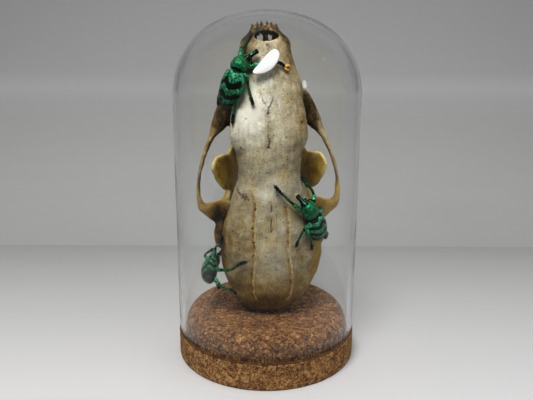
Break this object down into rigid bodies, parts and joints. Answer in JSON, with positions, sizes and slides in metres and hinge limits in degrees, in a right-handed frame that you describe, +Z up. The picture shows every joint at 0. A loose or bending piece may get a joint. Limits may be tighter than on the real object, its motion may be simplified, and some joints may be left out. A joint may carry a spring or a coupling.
{
  "type": "pine marten skull under a glass dome",
  "caption": "Pine marten skull standing snout up on a cork base, with metallic green weevils fixed on it, under a clear glass dome.",
  "frame": {"origin": "middle of the cork base's underside", "axes": "+Z up along the dome's axis; the skull's top side faces -Y"},
  "size_m": [0.0564, 0.0564, 0.1063],
  "materials": {
    "cork": "pressed granulated cork, matt",
    "clear_glass": "clear blown glass",
    "skull_bone": "dry cleaned bone, faint sheen",
    "jaw_bone": "yellowed bone, faint grease sheen",
    "weevil_upper_shell": "metallic green scales over black",
    "weevil_right_shell": "metallic green scales over black",
    "weevil_left_shell": "metallic green scales over black",
    "white_sheet": "thin, white, matt"
  },
  "bodies": {
    "root": {"cork_base": "cork", "glass_dome": "clear_glass", "cranium": "skull_bone", "lower_jaw": "jaw_bone", "weevil_upper": "weevil_upper_shell", "weevil_right": "weevil_right_shell", "weevil_left": "weevil_left_shell", "white_leaf": "white_sheet"}
  },
  "joints": []
}
